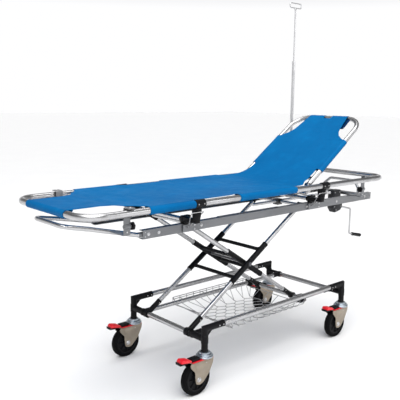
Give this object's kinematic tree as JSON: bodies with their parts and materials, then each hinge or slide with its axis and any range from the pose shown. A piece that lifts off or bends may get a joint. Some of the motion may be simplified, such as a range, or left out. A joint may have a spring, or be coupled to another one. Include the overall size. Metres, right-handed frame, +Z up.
{
  "type": "stretcher trolley",
  "caption": "Wheeled stretcher trolley: braked swivel casters, crank-driven scissor lift, lift-off stretcher with folding backrest, wire basket and drip pole.",
  "frame": {"origin": "on the floor, midway between the four caster swivels", "axes": "+X towards the head end, +Y to the patient's right, +Z up"},
  "size_m": [2.193, 0.6215, 1.845],
  "materials": {
    "polished_aluminium": "polished tube",
    "anodised_grey": "satin grey anodised",
    "black_plastic": "satin black moulding",
    "nickel_plate": "warm nickel plate",
    "black_rubber": "smooth tyre rubber",
    "red_plastic": "red moulding",
    "chrome_wire": "bright plated steel",
    "bright_steel": "machined steel",
    "blue_canvas": "coated canvas, satin"
  },
  "bodies": {
    "base": {"side_tube_left": "polished_aluminium", "side_tube_right": "polished_aluminium", "foot_cross_tube": "polished_aluminium", "head_cross_tube": "polished_aluminium", "lower_rail_left": "polished_aluminium", "lower_rail_right": "polished_aluminium", "wire_basket": "chrome_wire", "corner_post_foot_left": "black_plastic", "corner_post_foot_right": "black_plastic", "corner_post_head_left": "black_plastic", "corner_post_head_right": "black_plastic"},
    "caster_foot_left": {"caster_fork_foot_left": "nickel_plate"},
    "wheel_foot_left": {"caster_wheel_foot_left": "black_rubber"},
    "pedal_foot_left": {"brake_pedal_foot_left": "red_plastic"},
    "caster_foot_right": {"caster_fork_foot_right": "nickel_plate"},
    "wheel_foot_right": {"caster_wheel_foot_right": "black_rubber"},
    "pedal_foot_right": {"brake_pedal_foot_right": "red_plastic"},
    "caster_head_left": {"caster_fork_head_left": "nickel_plate"},
    "wheel_head_left": {"caster_wheel_head_left": "black_rubber"},
    "pedal_head_left": {"brake_pedal_head_left": "red_plastic"},
    "caster_head_right": {"caster_fork_head_right": "nickel_plate"},
    "wheel_head_right": {"caster_wheel_head_right": "black_rubber"},
    "pedal_head_right": {"brake_pedal_head_right": "red_plastic"},
    "outer_scissor": {"outer_leg_left": "polished_aluminium", "outer_leg_right": "polished_aluminium", "outer_brace_lower": "black_plastic", "outer_brace_upper": "black_plastic", "centre_axle": "bright_steel"},
    "inner_scissor": {"inner_leg_frame": "polished_aluminium"},
    "lower_slider": {"lower_slider": "black_plastic"},
    "upper_slider": {"upper_slider": "black_plastic"},
    "upper_frame": {"side_beam_left": "anodised_grey", "side_beam_right": "anodised_grey", "foot_bow": "polished_aluminium", "foot_saddle_tube": "black_plastic", "head_saddle_tube": "black_plastic", "top_pivot_tube": "polished_aluminium", "head_bow": "polished_aluminium", "gear_housing": "black_plastic", "iv_pole_lower": "chrome_wire", "cradle_foot_left": "black_plastic", "cradle_foot_right": "black_plastic", "cradle_head_left": "black_plastic", "cradle_head_right": "black_plastic"},
    "lead_screw": {"lead_screw": "bright_steel"},
    "crank": {"crank_arm": "chrome_wire"},
    "grip": {"crank_grip": "black_plastic"},
    "stretcher": {"stretcher_frame": "polished_aluminium", "bed_sheet": "blue_canvas", "latch_bracket_foot_left": "anodised_grey", "latch_bracket_foot_right": "anodised_grey", "latch_bracket_head_left": "anodised_grey", "latch_bracket_head_right": "anodised_grey"},
    "backrest": {"backrest_frame": "polished_aluminium", "back_sheet": "blue_canvas"},
    "drip_rod": {"iv_pole_upper": "chrome_wire"},
    "knob_foot_left": {"latch_knob_foot_left": "black_plastic"},
    "knob_foot_right": {"latch_knob_foot_right": "black_plastic"},
    "knob_head_left": {"latch_knob_head_left": "black_plastic"},
    "knob_head_right": {"latch_knob_head_right": "black_plastic"}
  },
  "joints": [
    {"name": "caster_swivel_foot_left", "type": "hinge", "parent": "base", "child": "caster_foot_left", "pos_m": [-0.507, -0.263, 0.1842], "axis": [0, 0, 1], "continuous": true},
    {"name": "wheel_spin_foot_left", "type": "hinge", "parent": "caster_foot_left", "child": "wheel_foot_left", "pos_m": [-0.559, -0.263, 0.075], "axis": [0, 1, 0], "continuous": true},
    {"name": "brake_press_foot_left", "type": "hinge", "parent": "caster_foot_left", "child": "pedal_foot_left", "pos_m": [-0.595, -0.263, 0.164], "axis": [0, -1, 0], "range_deg": [0, 12], "stiffness_Nm_per_rad": 2, "springref_deg": -5.73},
    {"name": "caster_swivel_foot_right", "type": "hinge", "parent": "base", "child": "caster_foot_right", "pos_m": [-0.507, 0.263, 0.1842], "axis": [0, 0, 1], "continuous": true},
    {"name": "wheel_spin_foot_right", "type": "hinge", "parent": "caster_foot_right", "child": "wheel_foot_right", "pos_m": [-0.559, 0.263, 0.075], "axis": [0, 1, 0], "continuous": true},
    {"name": "brake_press_foot_right", "type": "hinge", "parent": "caster_foot_right", "child": "pedal_foot_right", "pos_m": [-0.595, 0.263, 0.164], "axis": [0, -1, 0], "range_deg": [0, 12], "stiffness_Nm_per_rad": 2, "springref_deg": -5.73},
    {"name": "caster_swivel_head_left", "type": "hinge", "parent": "base", "child": "caster_head_left", "pos_m": [0.507, -0.263, 0.1842], "axis": [0, 0, 1], "continuous": true},
    {"name": "wheel_spin_head_left", "type": "hinge", "parent": "caster_head_left", "child": "wheel_head_left", "pos_m": [0.455, -0.263, 0.075], "axis": [0, 1, 0], "continuous": true},
    {"name": "brake_press_head_left", "type": "hinge", "parent": "caster_head_left", "child": "pedal_head_left", "pos_m": [0.419, -0.263, 0.164], "axis": [0, -1, 0], "range_deg": [0, 12], "stiffness_Nm_per_rad": 2, "springref_deg": -5.73},
    {"name": "caster_swivel_head_right", "type": "hinge", "parent": "base", "child": "caster_head_right", "pos_m": [0.507, 0.263, 0.1842], "axis": [0, 0, 1], "continuous": true},
    {"name": "wheel_spin_head_right", "type": "hinge", "parent": "caster_head_right", "child": "wheel_head_right", "pos_m": [0.455, 0.263, 0.075], "axis": [0, 1, 0], "continuous": true},
    {"name": "brake_press_head_right", "type": "hinge", "parent": "caster_head_right", "child": "pedal_head_right", "pos_m": [0.419, 0.263, 0.164], "axis": [0, -1, 0], "range_deg": [0, 12], "stiffness_Nm_per_rad": 2, "springref_deg": -5.73},
    {"name": "scissor_lift", "type": "hinge", "parent": "base", "child": "outer_scissor", "pos_m": [-0.507, 0, 0.238], "axis": [0, -1, 0], "range_deg": [-19, 9]},
    {"name": "scissor_cross", "type": "hinge", "parent": "outer_scissor", "child": "inner_scissor", "pos_m": [-0.12525, 0, 0.48648], "axis": [0, -1, 0], "range_deg": [-18, 38]},
    {"name": "frame_level", "type": "hinge", "parent": "inner_scissor", "child": "upper_frame", "pos_m": [-0.507, 0, 0.73497], "axis": [0, -1, 0], "range_deg": [-19, 9]},
    {"name": "upper_slider_turn", "type": "hinge", "parent": "outer_scissor", "child": "upper_slider", "pos_m": [0.25651, 0, 0.73497], "axis": [0, -1, 0], "range_deg": [-9, 19]},
    {"name": "lower_slider_turn", "type": "hinge", "parent": "inner_scissor", "child": "lower_slider", "pos_m": [0.25651, 0, 0.238], "axis": [0, -1, 0], "range_deg": [-19, 9]},
    {"name": "crank_turn", "type": "hinge", "parent": "upper_frame", "child": "crank", "pos_m": [0.8, 0, 0.6485], "axis": [0.9744, 0, -0.225], "continuous": true},
    {"name": "screw_turn", "type": "hinge", "parent": "upper_frame", "child": "lead_screw", "pos_m": [0.735, 0, 0.73497], "axis": [1, 0, 0], "continuous": true},
    {"name": "grip_spin", "type": "hinge", "parent": "crank", "child": "grip", "pos_m": [0.97733, 0, 0.45056], "axis": [0.9744, 0, -0.225], "continuous": true},
    {"name": "stretcher_lift_off", "type": "slide", "parent": "upper_frame", "child": "stretcher", "axis": [0, 0, 1], "range_m": [0, 0.3]},
    {"name": "backrest_fold", "type": "hinge", "parent": "stretcher", "child": "backrest", "pos_m": [0.219, 0, 0.847], "axis": [0, -1, 0], "range_deg": [-34.8, 40.2]},
    {"name": "drip_rod_slide", "type": "slide", "parent": "upper_frame", "child": "drip_rod", "axis": [0, 0, 1], "range_m": [-0.26, 0.24]},
    {"name": "latch_pull_foot_left", "type": "slide", "parent": "stretcher", "child": "knob_foot_left", "axis": [1, 0, 0], "range_m": [0, 0.008], "stiffness_N_per_m": 400, "springref_m": -0.005},
    {"name": "latch_pull_foot_right", "type": "slide", "parent": "stretcher", "child": "knob_foot_right", "axis": [1, 0, 0], "range_m": [0, 0.008], "stiffness_N_per_m": 400, "springref_m": -0.005},
    {"name": "latch_pull_head_left", "type": "slide", "parent": "stretcher", "child": "knob_head_left", "axis": [-1, 0, 0], "range_m": [0, 0.008], "stiffness_N_per_m": 400, "springref_m": -0.005},
    {"name": "latch_pull_head_right", "type": "slide", "parent": "stretcher", "child": "knob_head_right", "axis": [-1, 0, 0], "range_m": [0, 0.008], "stiffness_N_per_m": 400, "springref_m": -0.005}
  ],
  "couplings": [
    {"joint": "scissor_cross", "follows": "scissor_lift", "ratio": -2},
    {"joint": "frame_level", "follows": "scissor_lift", "ratio": 1},
    {"joint": "upper_slider_turn", "follows": "scissor_lift", "ratio": -1},
    {"joint": "lower_slider_turn", "follows": "scissor_lift", "ratio": 1},
    {"joint": "screw_turn", "follows": "crank_turn", "ratio": -1}
  ]
}
